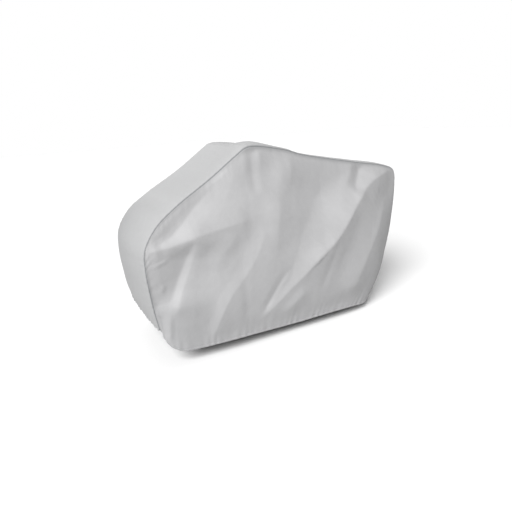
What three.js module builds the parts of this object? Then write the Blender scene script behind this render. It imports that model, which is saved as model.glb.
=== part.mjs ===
// Fitted quad bike cover: a centre strip runs over nose, crown and tail, and a side panel is
// sewn to each of its edges. The cloth has the shape in which it hangs when it is in use.
// Millimetres, +Z up, +X to the rear, +Y to the right side. Table heights are above the ground,
// and the finished cover is moved so that the origin lies under its crown, where it is carried.
import * as THREE from "three";

// Driving dimensions
const CLOTH = 2;
const SEAM_GAP = 0.3;
const SIDE_FULLNESS = 62;

// Grid steps along the top seam, from the top seam down to the hem, and across the strip
const TOP_STEPS = 54;
const DROP_STEPS = 27;
const STRIP_STEPS = 8;

// Steps along the crest of a fold, and the power by which a sharp crest falls away
const CREST_STEPS = 28;
const SHARP_FALL = 1.5;

// Shares of a panel's grid over which fullness and folds grow from the seam
const FULL_FROM_FRONT = 0.62;
const FULL_FROM_REAR = 0.21;
const FOLD_FROM_ENDS = 0.03;
const FOLD_FROM_TOP = 0.06;

// Run of the seam from the front hem over nose, crown and tail to the rear hem: half the strip's
// width, its rise above the left and the right seam, and its sag at the middle, below zero where it bulges
const SEAM = [
  { at: "front hem", x: -226, z: 242, half: 338, left: 6, right: 6, sag: -4 },
  { at: "shin", x: -252, z: 410, half: 348, left: 10, right: 18, sag: -17 },
  { at: "chin", x: -265, z: 640, half: 338, left: 12, right: 19, sag: -27 },
  { at: "nose", x: -252, z: 748, half: 331, left: 14, right: 20, sag: -29 },
  { at: "brow", x: -173, z: 870, half: 327, left: 14, right: 17, sag: -21 },
  { at: "cowl", x: -39, z: 970, half: 312, left: 12, right: 10, sag: -4 },
  { at: "slope", x: 198, z: 1108, half: 296, left: 8, right: 2, sag: 8 },
  { at: "crown front", x: 380, z: 1229, half: 296, left: 14, right: -7, sag: 12 },
  { at: "crown corner", x: 444, z: 1267, half: 297, left: 28, right: 3, sag: 18 },
  { at: "peak", x: 505, z: 1272, half: 297, left: 40, right: 4, sag: 20 },
  { at: "crown rear", x: 733, z: 1231, half: 296, left: 14, right: 10, sag: 12 },
  { at: "dip", x: 850, z: 1193, half: 295, left: 8, right: 12, sag: 12 },
  { at: "back", x: 1300, z: 1100, half: 295, left: 10, right: 10, sag: 8 },
  { at: "tail top", x: 1565, z: 1050, half: 295, left: 12, right: 12, sag: 4 },
  { at: "tail corner", x: 1679, z: 1010, half: 295, left: 16, right: 16, sag: 0 },
  { at: "tail", x: 1692, z: 885, half: 295, left: 18, right: 18, sag: 0 },
  { at: "tail face", x: 1660, z: 560, half: 293, left: 16, right: 16, sag: 0 },
  { at: "tail low", x: 1585, z: 290, half: 288, left: 12, right: 12, sag: 0 },
  { at: "rear hem", x: 1450, z: 110, half: 280, left: 6, right: 6, sag: 0 },
];

// Hem of each side panel from the front seam to the rear seam, out from the middle
const LEFT_HEM = [
  { x: -226, out: 338, z: 242 },
  { x: -206, out: 354, z: 181 },
  { x: -170, out: 380, z: 127 },
  { x: -98, out: 402, z: 94 },
  { x: 10, out: 411, z: 87 },
  { x: 179, out: 420, z: 83 },
  { x: 398, out: 418, z: 76 },
  { x: 700, out: 417, z: 67 },
  { x: 1031, out: 420, z: 66 },
  { x: 1220, out: 411, z: 58 },
  { x: 1322, out: 396, z: 50 },
  { x: 1395, out: 360, z: 66 },
  { x: 1450, out: 280, z: 110 },
];
const RIGHT_HEM = [
  { x: -226, out: 338, z: 242 },
  { x: -204, out: 358, z: 178 },
  { x: -166, out: 390, z: 124 },
  { x: -90, out: 414, z: 100 },
  { x: 30, out: 424, z: 94 },
  { x: 260, out: 424, z: 86 },
  { x: 620, out: 418, z: 76 },
  { x: 1000, out: 424, z: 74 },
  { x: 1200, out: 418, z: 72 },
  { x: 1320, out: 400, z: 62 },
  { x: 1400, out: 356, z: 70 },
  { x: 1450, out: 280, z: 110 },
];

// Folds of each side panel: the crest's path as x and z in the side view, from its upper or rear
// end to its lower or front end; at even steps of the path the widths of its flanks ahead and
// behind and its rise, below zero in a hollow; its fade at both ends, and how sharp its crest is
const LEFT_FOLDS = [
  // long fold from the tail's upper corner to the hem, the hollow ahead of its foot, and the step
  // where its foot begins
  {
    path: [[1680, 1025], [1405, 945], [1208, 803], [1008, 606], [806, 462], [424, 172]],
    front: [100, 160, 280, 250, 75, 50],
    rear: [300, 300, 280, 340, 400, 140],
    rise: [6, 33, 57, 49, 14, 7],
    fade: 130,
    crisp: 0.8,
  },
  { path: [[660, 500], [560, 380], [420, 190]], front: [60], rear: [50], rise: [-5], fade: 100, crisp: 0 },
  {
    path: [[1000, 605], [900, 590], [760, 575]],
    front: [140],
    rear: [100],
    rise: [0, -8, -5, 0],
    fade: 40,
    crisp: 0.6,
  },
  // second fold behind it, and the low fold under its foot
  {
    path: [[1570, 840], [1430, 620], [1300, 430], [1190, 240], [1130, 120]],
    front: [220],
    rear: [340, 300],
    rise: [18, 30, 20, 6],
    fade: 160,
    crisp: 0.5,
  },
  { path: [[790, 320], [580, 150]], front: [70], rear: [100], rise: [9], fade: 100, crisp: 0.3 },
  // fullness above the drawn-in hem and of the middle
  {
    path: [[1320, 260], [700, 230], [100, 250]],
    front: [260],
    rear: [150],
    rise: [22, 6, 12],
    fade: 200,
    crisp: 0,
  },
  {
    path: [[340, 310], [50, 320], [-210, 350]],
    front: [420, 400, 160],
    rear: [220],
    rise: [2, 13, 13, 3],
    fade: 60,
    crisp: 0,
  },
  {
    path: [[1100, 480], [640, 490], [280, 520]],
    front: [340],
    rear: [280],
    rise: [0, 7, 13, 8, 0],
    fade: 100,
    crisp: 0,
  },
  // notch and hollow under the rear seam
  { path: [[1370, 1090], [1235, 880]], front: [90], rear: [200], rise: [-24], fade: 80, crisp: 0.5 },
  {
    path: [[1340, 920], [1120, 900], [950, 900], [760, 950], [600, 1000]],
    front: [260],
    rear: [180],
    rise: [-3, -12, -20, -13, -3],
    fade: 140,
    crisp: 0,
  },
  // hollow below the crown, the folds that fall from it, and the hollow behind them
  { path: [[680, 1060], [520, 1110], [360, 1050]], front: [120], rear: [140], rise: [-9], fade: 150, crisp: 0 },
  {
    path: [[735, 1270], [735, 1100], [700, 920]],
    front: [160],
    rear: [340],
    rise: [15, 13, 5],
    fade: 160,
    crisp: 0.7,
  },
  {
    path: [[630, 1040], [590, 800], [550, 600], [470, 420]],
    front: [150, 150, 120],
    rear: [400, 420, 220],
    rise: [19, 26, 10, 3],
    fade: 180,
    crisp: 0.3,
  },
  {
    path: [[680, 1020], [680, 800], [640, 520]],
    front: [220],
    rear: [300],
    rise: [-2, -6, -6, -2],
    fade: 140,
    crisp: 0,
  },
  // crease across the nose, the shoulder it runs into, and the edge of the slope above it
  {
    path: [[420, 834], [300, 825], [200, 808], [50, 786], [-100, 752], [-270, 735]],
    front: [140, 150, 180, 90, 60],
    rear: [150, 180, 220, 270, 280],
    rise: [6, 17, 23, 18, 8],
    fade: 80,
    crisp: 0.9,
  },
  {
    path: [[860, 870], [600, 860], [300, 830], [50, 786], [-240, 735]],
    front: [200, 220, 260, 220, 100],
    rear: [300, 320, 340, 260, 200],
    rise: [0, 8, 16, 25, 4],
    fade: 120,
    crisp: 0,
  },
  {
    path: [[370, 1160], [270, 980], [150, 810]],
    front: [220, 200],
    rear: [360],
    rise: [12],
    fade: 100,
    crisp: 0.5,
  },
  // cloth drawn straight down beside the slope's seam
  {
    path: [[260, 1090], [110, 985], [10, 895], [-90, 810], [-210, 760]],
    front: [45, 50, 70, 85, 60],
    rear: [100],
    rise: [0, -4, -12, -15, -8],
    fade: 50,
    crisp: 0.6,
  },
  // valley and hollow below the nose, and the fold that stands behind them
  {
    path: [[40, 770], [-20, 660], [-85, 530], [-140, 435], [-200, 415], [-260, 410]],
    front: [70, 160, 180, 160, 110, 70],
    rear: [55, 70, 80, 80, 80, 60],
    rise: [-5, -9, -11, -11, -7, -5],
    fade: 40,
    crisp: 0.9,
  },
  {
    path: [[-60, 760], [-100, 600], [-120, 380]],
    front: [170],
    rear: [340],
    rise: [-17],
    fade: 120,
    crisp: 0,
  },
  {
    path: [[50, 740], [10, 640], [-45, 520], [-105, 400], [-135, 320]],
    front: [55],
    rear: [80, 120, 180, 240],
    rise: [5, 7, 10, 13],
    fade: 80,
    crisp: 0.8,
  },
  // long soft folds between the nose and the crown
  {
    path: [[500, 800], [430, 620], [330, 490], [210, 370], [120, 220], [70, 90]],
    front: [100, 90, 80, 70, 60],
    rear: [240, 220, 200, 160, 100],
    rise: [9],
    fade: 120,
    crisp: 0.8,
  },
  { path: [[340, 800], [110, 550]], front: [90], rear: [80], rise: [6], fade: 120, crisp: 0.4 },
];
const RIGHT_FOLDS = [
  // long fold from the tail's upper corner to the hem, and the folds behind and below it
  {
    path: [[1560, 1060], [1200, 740], [900, 440], [600, 120]],
    front: [120, 220, 160, 60],
    rear: [240, 200, 160, 100],
    rise: [30, 52, 40, 12],
    fade: 160,
    crisp: 0.7,
  },
  {
    path: [[1640, 800], [1400, 460], [1160, 90]],
    front: [170],
    rear: [240, 200],
    rise: [15],
    fade: 200,
    crisp: 0.4,
  },
  { path: [[880, 520], [680, 90]], front: [100], rear: [100], rise: [-10], fade: 150, crisp: 0.3 },
  // fullness above the drawn-in hem
  {
    path: [[1300, 250], [600, 240], [100, 260]],
    front: [260],
    rear: [150],
    rise: [14],
    fade: 240,
    crisp: 0,
  },
  {
    path: [[300, 290], [40, 300], [-205, 330]],
    front: [260, 220, 120],
    rear: [180],
    rise: [2, 10, 12, 4],
    fade: 60,
    crisp: 0,
  },
  // short fold and hollow under the rear seam
  { path: [[1220, 1130], [940, 730]], front: [130], rear: [90], rise: [14], fade: 120, crisp: 0.6 },
  { path: [[1000, 1170], [940, 900]], front: [180], rear: [140], rise: [-9], fade: 150, crisp: 0 },
  // folds that fall from the crown
  {
    path: [[560, 1260], [580, 800], [650, 340]],
    front: [150],
    rear: [220],
    rise: [20, 16, 8],
    fade: 220,
    crisp: 0.4,
  },
  { path: [[450, 1240], [370, 900]], front: [80], rear: [90], rise: [11], fade: 110, crisp: 0.5 },
  // shoulder that runs into the nose, and the hollows under it
  {
    path: [[560, 885], [300, 850], [0, 765], [-260, 715]],
    front: [140, 260, 240, 90],
    rear: [160, 180, 220, 240],
    rise: [6, 40, 50, 12],
    fade: 150,
    crisp: 0.5,
  },
  { path: [[220, 1070], [140, 660]], front: [140], rear: [130], rise: [14], fade: 120, crisp: 0.4 },
  {
    path: [[20, 720], [-90, 520], [-150, 400]],
    front: [130],
    rear: [80],
    rise: [-12, -20, -14],
    fade: 60,
    crisp: 0.8,
  },
  { path: [[-140, 740], [-170, 380]], front: [110], rear: [260], rise: [-16], fade: 120, crisp: 0 },
  { path: [[450, 600], [160, 80]], front: [110], rear: [160], rise: [15], fade: 170, crisp: 0.6 },
];

const rowAt = (name) => SEAM.findIndex((row) => row.at === name);
const smooth = (share) => THREE.MathUtils.smoothstep(share, 0, 1);

// Evenly spaced points of a curve between two of its shares, each with its share
function evenRun(curve, start, end, steps) {
  const fine = steps * 16;
  const samples = [];
  const lengths = [0];
  for (let i = 0; i <= fine; i += 1) {
    const share = start + ((end - start) * i) / fine;
    samples.push({ share, point: curve.getPoint(share) });
    if (i > 0) {
      lengths.push(lengths[i - 1] + samples[i].point.distanceTo(samples[i - 1].point));
    }
  }
  const run = [];
  let near = 0;
  for (let k = 0; k <= steps; k += 1) {
    const target = (lengths[fine] * k) / steps;
    while (near < fine - 1 && lengths[near + 1] < target) {
      near += 1;
    }
    const part = (target - lengths[near]) / (lengths[near + 1] - lengths[near]);
    run.push({
      share: THREE.MathUtils.lerp(samples[near].share, samples[near + 1].share, part),
      point: samples[near].point.clone().lerp(samples[near + 1].point, part),
    });
  }
  return run;
}

// Seam stations, with y as the distance out from the middle
function seamStations() {
  const curve = new THREE.CatmullRomCurve3(
    SEAM.map((row) => new THREE.Vector3(row.x, row.half, row.z)),
    false,
    "centripetal",
  );
  const last = SEAM.length - 1;
  const nose = rowAt("nose") / last;
  const tail = rowAt("tail corner") / last;
  const front = evenRun(curve, 0, nose, DROP_STEPS);
  const top = evenRun(curve, nose, tail, TOP_STEPS);
  const rear = evenRun(curve, tail, 1, DROP_STEPS);
  return [...front, ...top.slice(1), ...rear.slice(1)];
}

const STATIONS = seamStations();

// Normal of the seam's run in the side view, pointing away from the hollow
function runNormal(k) {
  const before = STATIONS[Math.max(k - 1, 0)].point;
  const after = STATIONS[Math.min(k + 1, STATIONS.length - 1)].point;
  return new THREE.Vector3(before.z - after.z, 0, after.x - before.x).normalize();
}

// Way from the outer to the inner edge of the cloth at a seam: strip and panel share it
function seamWall(k) {
  return runNormal(k).add(new THREE.Vector3(0, 1, 0)).multiplyScalar(-CLOTH);
}

// Value of a seam column at a share of the run
function seamLevel(column, share) {
  const place = share * (SEAM.length - 1);
  const row = Math.min(Math.floor(place), SEAM.length - 2);
  return THREE.MathUtils.lerp(SEAM[row][column], SEAM[row + 1][column], smooth(place - row));
}

// Crest of a fold, as points at even steps
function foldCrest(fold) {
  const curve = new THREE.CatmullRomCurve3(
    fold.path.map(([x, z]) => new THREE.Vector3(x, 0, z)),
    false,
    "centripetal",
  );
  return evenRun(curve, 0, 1, CREST_STEPS).map((spot) => spot.point);
}

// Value given at even steps of a crest, at a share of its length
function evenSteps(values, share) {
  const place = share * (values.length - 1);
  const before = Math.floor(place);
  const after = Math.min(before + 1, values.length - 1);
  return THREE.MathUtils.lerp(values[before], values[after], place - before);
}

// Rise of one fold at a spot of the side view, by the nearest place on its crest
function foldRise(fold, crest, spot) {
  const step = crest[0].distanceTo(crest[1]);
  const total = step * CREST_STEPS;
  let near = Infinity;
  let along = 0;
  let across = 0;
  for (let k = 0; k < CREST_STEPS; k += 1) {
    const way = crest[k + 1].clone().sub(crest[k]).divideScalar(step);
    const offset = spot.clone().sub(crest[k]);
    const ahead = THREE.MathUtils.clamp(offset.dot(way), 0, step);
    offset.addScaledVector(way, -ahead);
    if (offset.length() < near) {
      near = offset.length();
      along = k * step + ahead;
      across = offset.z * way.x - offset.x * way.z;
    }
  }
  const share = along / total;
  const flank = evenSteps(across > 0 ? fold.rear : fold.front, share);
  const reach = Math.min(near / flank, 1);
  const ends = smooth(along / fold.fade) * smooth((total - along) / fold.fade);
  const profile = THREE.MathUtils.lerp(1 - smooth(reach), (1 - reach) ** SHARP_FALL, fold.crisp);
  return evenSteps(fold.rise, share) * ends * profile;
}

// Unit normals of a grid of points, by differences along its rows and columns
function gridNormals(grid) {
  return grid.map((row, i) =>
    row.map((_, j) => {
      const ahead = grid[Math.min(i + 1, grid.length - 1)][j];
      const behind = grid[Math.max(i - 1, 0)][j];
      const below = row[Math.min(j + 1, row.length - 1)];
      const above = row[Math.max(j - 1, 0)];
      const alongRun = ahead.clone().sub(behind);
      const alongDrop = below.clone().sub(above);
      return alongRun.cross(alongDrop).normalize();
    }),
  );
}

// Closed sheet between an outer and an inner grid. The diagonal turns over at half the run, so
// that the cells at the two top corners of a side panel are cut through the corner.
function sheetGeometry(outer, inner, mirrored) {
  const rows = outer.length;
  const columns = outer[0].length;
  const count = rows * columns;
  const positions = [...outer.flat(), ...inner.flat()].flatMap((point) => point.toArray());
  const faces = [];
  const id = (i, j) => i * columns + j;
  const quad = (a, b, c, d) => {
    faces.push([a, b, c], [a, c, d]);
  };
  for (let i = 0; i < rows - 1; i += 1) {
    for (let j = 0; j < columns - 1; j += 1) {
      const corners = [id(i, j), id(i + 1, j), id(i + 1, j + 1), id(i, j + 1)];
      const [a, b, c, d] = i < rows / 2 ? corners : [...corners.slice(1), corners[0]];
      quad(a, b, c, d);
      quad(c + count, b + count, a + count, d + count);
    }
  }
  const rim = [];
  for (let i = 0; i < rows - 1; i += 1) rim.push(id(i, 0));
  for (let j = 0; j < columns - 1; j += 1) rim.push(id(rows - 1, j));
  for (let i = rows - 1; i > 0; i -= 1) rim.push(id(i, columns - 1));
  for (let j = columns - 1; j > 0; j -= 1) rim.push(id(0, j));
  rim.forEach((a, k) => {
    const b = rim[(k + 1) % rim.length];
    quad(b, a, a + count, b + count);
  });
  const geometry = new THREE.BufferGeometry();
  geometry.setAttribute("position", new THREE.Float32BufferAttribute(positions, 3));
  geometry.setIndex(faces.flatMap(([a, b, c]) => (mirrored ? [a, c, b] : [a, b, c])));
  geometry.computeVertexNormals();
  return geometry;
}

// Smooth patch between the seam on three sides and the hem, before fullness and folds
function panelPatch(hemRows) {
  const nose = DROP_STEPS;
  const tail = DROP_STEPS + TOP_STEPS;
  const hemCurve = new THREE.CatmullRomCurve3(
    hemRows.map((row) => new THREE.Vector3(row.x, row.out, row.z)),
    false,
    "centripetal",
  );
  const hem = evenRun(hemCurve, 0, 1, TOP_STEPS).map((spot) => spot.point);
  const seam = STATIONS.map((station) => station.point);
  const patch = [];
  for (let i = 0; i <= TOP_STEPS; i += 1) {
    const u = i / TOP_STEPS;
    const row = [];
    for (let j = 0; j <= DROP_STEPS; j += 1) {
      const v = j / DROP_STEPS;
      const downward = seam[nose + i].clone().lerp(hem[i], v);
      const rearward = seam[nose - j].clone().lerp(seam[tail + j], u);
      const frontCorner = seam[nose].clone().lerp(hem[0], v);
      const rearCorner = seam[tail].clone().lerp(hem[TOP_STEPS], v);
      row.push(downward.add(rearward).sub(frontCorner.lerp(rearCorner, u)));
    }
    patch.push(row);
  }
  return patch;
}

// Station of the seam on which a point of a panel's rim lies, or -1 off the seam
function rimStation(i, j) {
  if (j === 0) return DROP_STEPS + i;
  if (i === 0) return DROP_STEPS - j;
  if (i === TOP_STEPS) return DROP_STEPS + TOP_STEPS + j;
  return -1;
}

// Side panel: the patch pushed out by its fullness and folds, as a sheet with a mitred seam
function sidePanel(side, hemRows, folds) {
  const crests = folds.map(foldCrest);
  const patch = panelPatch(hemRows);
  const lift = gridNormals(patch);
  const full = patch.map((row, i) =>
    row.map((point, j) => {
      const u = i / TOP_STEPS;
      const v = j / DROP_STEPS;
      const fromEnds = smooth(u / FULL_FROM_FRONT) * smooth((1 - u) / FULL_FROM_REAR);
      const grown = smooth(u / FOLD_FROM_ENDS) * smooth((1 - u) / FOLD_FROM_ENDS);
      const fullness = SIDE_FULLNESS * Math.sin(Math.PI * v) * fromEnds;
      const spot = new THREE.Vector3(point.x, 0, point.z);
      const rise = folds.reduce((sum, fold, k) => sum + foldRise(fold, crests[k], spot), 0);
      const push = fullness + rise * grown * smooth(v / FOLD_FROM_TOP);
      return point.clone().addScaledVector(lift[i][j], push);
    }),
  );
  const normals = gridNormals(full);
  const outer = [];
  const inner = [];
  full.forEach((row, i) => {
    outer.push([]);
    inner.push([]);
    row.forEach((point, j) => {
      const station = rimStation(i, j);
      const edge = point.clone();
      if (station >= 0) edge.y += SEAM_GAP / 2;
      const wall = station >= 0 ? seamWall(station) : normals[i][j].clone().multiplyScalar(-CLOTH);
      const back = edge.clone().add(wall);
      outer[i].push(new THREE.Vector3(edge.x, side * edge.y, edge.z));
      inner[i].push(new THREE.Vector3(back.x, side * back.y, back.z));
    });
  });
  return sheetGeometry(outer, inner, side < 0);
}

// Centre strip: crowned over its two seams and sagging at the middle
function centreStrip() {
  const grid = STATIONS.map(({ point, share }, k) => {
    const row = [];
    const normal = runNormal(k);
    for (let j = 0; j <= STRIP_STEPS; j += 1) {
      const q = (2 * j) / STRIP_STEPS - 1;
      const left = seamLevel("left", share);
      const right = seamLevel("right", share);
      const crown = THREE.MathUtils.lerp(left, right, (q + 1) / 2) * (1 - q ** 4);
      const sag = seamLevel("sag", share) * (1 - q * q) ** 2;
      const across = new THREE.Vector3(point.x, q * (point.y - SEAM_GAP / 2), point.z);
      row.push(across.addScaledVector(normal, crown - sag));
    }
    return row;
  });
  const normals = gridNormals(grid);
  const inner = grid.map((row, k) =>
    row.map((point, j) => {
      if (j > 0 && j < STRIP_STEPS) return point.clone().addScaledVector(normals[k][j], -CLOTH);
      const wall = seamWall(k);
      if (j === 0) wall.y *= -1;
      return point.clone().add(wall);
    }),
  );
  return sheetGeometry(grid, inner, false);
}

function clothMesh(name, geometry, colour, roughness) {
  const material = new THREE.MeshStandardMaterial({ color: colour, roughness, metalness: 0 });
  const mesh = new THREE.Mesh(geometry, material);
  mesh.name = name;
  return mesh;
}

const peak = SEAM[rowAt("peak")];
const cover = new THREE.Group();
cover.position.set(-peak.x, 0, -(peak.z + (peak.left + peak.right) / 2 - peak.sag - CLOTH));
cover.add(clothMesh("centre_strip", centreStrip(), 0xd2d4d4, 0.55));
cover.add(clothMesh("side_panel_left", sidePanel(-1, LEFT_HEM, LEFT_FOLDS), 0xbcbdbe, 0.5));
cover.add(clothMesh("side_panel_right", sidePanel(1, RIGHT_HEM, RIGHT_FOLDS), 0xbcbdbe, 0.5));

const root = new THREE.Group();
root.add(cover);

export default root;
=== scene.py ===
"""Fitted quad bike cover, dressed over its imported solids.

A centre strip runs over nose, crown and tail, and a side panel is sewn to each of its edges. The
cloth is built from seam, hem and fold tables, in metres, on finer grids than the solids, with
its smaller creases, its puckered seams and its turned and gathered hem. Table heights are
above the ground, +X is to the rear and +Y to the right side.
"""

from collections import namedtuple
from math import pi, radians

import bpy
import numpy as np
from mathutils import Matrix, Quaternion, Vector, noise


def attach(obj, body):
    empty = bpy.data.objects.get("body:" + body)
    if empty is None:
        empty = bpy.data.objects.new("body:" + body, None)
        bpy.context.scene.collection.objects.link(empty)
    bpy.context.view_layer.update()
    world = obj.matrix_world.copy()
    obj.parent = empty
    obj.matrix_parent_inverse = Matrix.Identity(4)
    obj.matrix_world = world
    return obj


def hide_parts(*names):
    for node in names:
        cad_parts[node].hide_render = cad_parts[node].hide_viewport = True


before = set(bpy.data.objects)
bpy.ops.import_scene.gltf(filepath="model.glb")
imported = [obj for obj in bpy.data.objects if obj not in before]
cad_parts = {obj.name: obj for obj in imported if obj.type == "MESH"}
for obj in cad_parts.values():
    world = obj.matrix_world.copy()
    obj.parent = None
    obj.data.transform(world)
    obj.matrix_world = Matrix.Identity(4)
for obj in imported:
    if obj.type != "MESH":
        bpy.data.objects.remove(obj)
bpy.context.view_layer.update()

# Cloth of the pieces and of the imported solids
CLOTH = 0.0014
SOLID_CLOTH = 0.002

# Turned hem: its depth, how far it stands out, the step at its stitches and how they press it in;
# the pitch and length of the stitches and the radius of their thread
HEM_TURN = 0.017
HEM_EXTRA = 0.0012
HEM_STEP = 0.003
HEM_PRESS = 0.0012
HEM_PITCH = 0.0055
HEM_STITCH = 0.0042
HEM_THREAD = 0.0006

# Seam: the gap between its pieces, how deep and wide they sink into it, the width of the painted
# shade and dark line along it, and the strip's rolled edge beside it
SEAM_GAP = 0.0003
SEAM_SINK = 0.0045
SEAM_WIDTH = 0.0045
SEAM_SHADE_WIDTH = 0.006
EDGE_ROLL = 0.005
EDGE_WIDTH = 0.010

# Puckers along the seams: their reach, their height and the length of their waves
SIDE_PUCKER_REACH = 0.022
SIDE_PUCKER = 0.0006
TOP_PUCKER_WAVE = 0.047
FRONT_PUCKER_WAVE = 0.041
REAR_PUCKER_WAVE = 0.044
STRIP_PUCKER_REACH = 0.018
STRIP_PUCKER = 0.0010
LEFT_PUCKER_WAVE = 0.039
RIGHT_PUCKER_WAVE = 0.042

# Gathers above the hem, and the shares of a side panel's ends where they are tight
GATHER_REACH = 0.06
SIDE_GATHER = 0.0036
SIDE_GATHER_WAVE = 0.052
STRIP_GATHER = 0.0050
STRIP_GATHER_WAVE = 0.050
LOOSE_GATHER = 0.45
TIGHT_AT_FRONT = 0.16
TIGHT_AT_REAR = 0.22

# Side cloth tucked in beside its seams, and the calm edge where dents and gathers grow
TUCK = 0.0045
TUCK_REACH = 0.022
TUCK_START = 0.006
CALM_EDGE = 0.03

# Dents of handled cloth, each with its number to the metre and its depth
Dent = namedtuple("Dent", "count depth")
BROAD_DENT = Dent(9.0, 0.0014)
FINE_DENT = Dent(24.0, 0.0005)
RIDGE = Dent(6.0, 0.0010)
RIDGE_SHIFT = 7.0
DENT_STRETCH = np.array([1.0, 0.6, 1.0])
STRIP_DENTS = 0.8

# Tones: how far the hem channel darkens, more darkening along the pressed stitches, painted shade
# on the low front, and a painted shadow band under the seams of the side panels behind the crown
HEM_SHADE = 0.12
PRESSED_STITCH_DARKENING = 0.8
SIDE_PAINTED_SHADE = 1.5
SIDE_PAINTED_SHADE_BEHIND = 0.30
SIDE_PAINTED_SHADE_RUN = 0.5
SIDE_PAINTED_SHADE_TOP = 0.70
SIDE_PAINTED_SHADE_DROP = 0.4
STRIP_PAINTED_SHADE = 3.4
STRIP_PAINTED_SHADE_END = 0.84
STRIP_PAINTED_SHADE_RUN = 0.28
STRIP_PAINTED_SHADE_MIDDLE = 0.6
STRIP_PAINTED_SHADE_TILT = 0.4
SEAM_SHADOW = 0.5
SEAM_SHADOW_FROM = 0.36
SEAM_SHADOW_RUN = 0.08
SEAM_SHADOW_WIDTH = 0.022

# Start of each piece's uneven waves and dents
STRIP_START = 0.7
LEFT_START = 0.4
RIGHT_START = 5.1

# Fullness of a side panel, and shares of its grid over which fullness and folds grow from the seam
SIDE_FULLNESS = 0.062
FULL_FROM_FRONT = 0.62
FULL_FROM_REAR = 0.21
FOLD_FROM_ENDS = 0.014
FOLD_FROM_TOP = 0.04

# Power by which a sharp crest falls away, and steps along a fold's path
SHARP_FALL = 1.5
FOLD_SAMPLES = 28

# Run of the seam from the front hem over nose, crown and tail to the rear hem: half the strip's
# width, its rise above the left and the right seam, and its sag at the middle, below zero where it
# bulges
SeamRow = namedtuple("SeamRow", "at x z half left right sag")
SEAM = [
    SeamRow("front hem", -0.226, 0.242, 0.338, 0.006, 0.006, -0.004),
    SeamRow("shin", -0.252, 0.410, 0.348, 0.010, 0.018, -0.017),
    SeamRow("chin", -0.265, 0.640, 0.338, 0.012, 0.019, -0.027),
    SeamRow("nose", -0.252, 0.748, 0.331, 0.014, 0.020, -0.029),
    SeamRow("brow", -0.173, 0.870, 0.327, 0.014, 0.017, -0.021),
    SeamRow("cowl", -0.039, 0.970, 0.312, 0.012, 0.010, -0.004),
    SeamRow("slope", 0.198, 1.108, 0.296, 0.008, 0.002, 0.008),
    SeamRow("crown front", 0.380, 1.229, 0.296, 0.014, -0.007, 0.012),
    SeamRow("crown corner", 0.444, 1.267, 0.297, 0.028, 0.003, 0.018),
    SeamRow("peak", 0.505, 1.272, 0.297, 0.040, 0.004, 0.020),
    SeamRow("crown rear", 0.733, 1.231, 0.296, 0.014, 0.010, 0.012),
    SeamRow("dip", 0.850, 1.193, 0.295, 0.008, 0.012, 0.012),
    SeamRow("back", 1.300, 1.100, 0.295, 0.010, 0.010, 0.008),
    SeamRow("tail top", 1.565, 1.050, 0.295, 0.012, 0.012, 0.004),
    SeamRow("tail corner", 1.674, 1.004, 0.295, 0.016, 0.016, 0.000),
    SeamRow("tail", 1.692, 0.885, 0.295, 0.018, 0.018, 0.000),
    SeamRow("tail face", 1.660, 0.560, 0.293, 0.016, 0.016, 0.000),
    SeamRow("tail low", 1.585, 0.290, 0.288, 0.012, 0.012, 0.000),
    SeamRow("rear hem", 1.450, 0.110, 0.280, 0.006, 0.006, 0.000),
]
SEAM_ROWS = [row.at for row in SEAM]
NOSE = SEAM_ROWS.index("nose")
TAIL = SEAM_ROWS.index("tail corner")

# Hem of each side panel from the front seam to the rear seam, out from the middle
HemRow = namedtuple("HemRow", "x out z")
LEFT_HEM = [
    HemRow(-0.226, 0.338, 0.242),
    HemRow(-0.206, 0.354, 0.181),
    HemRow(-0.170, 0.380, 0.127),
    HemRow(-0.098, 0.402, 0.094),
    HemRow(0.010, 0.411, 0.087),
    HemRow(0.179, 0.420, 0.083),
    HemRow(0.398, 0.418, 0.076),
    HemRow(0.700, 0.417, 0.067),
    HemRow(1.031, 0.420, 0.066),
    HemRow(1.220, 0.411, 0.058),
    HemRow(1.322, 0.396, 0.050),
    HemRow(1.395, 0.360, 0.066),
    HemRow(1.450, 0.280, 0.110),
]
RIGHT_HEM = [
    HemRow(-0.226, 0.338, 0.242),
    HemRow(-0.204, 0.358, 0.178),
    HemRow(-0.166, 0.390, 0.124),
    HemRow(-0.090, 0.414, 0.100),
    HemRow(0.030, 0.424, 0.094),
    HemRow(0.260, 0.424, 0.086),
    HemRow(0.620, 0.418, 0.076),
    HemRow(1.000, 0.424, 0.074),
    HemRow(1.200, 0.418, 0.072),
    HemRow(1.320, 0.400, 0.062),
    HemRow(1.400, 0.356, 0.070),
    HemRow(1.450, 0.280, 0.110),
]

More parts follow.
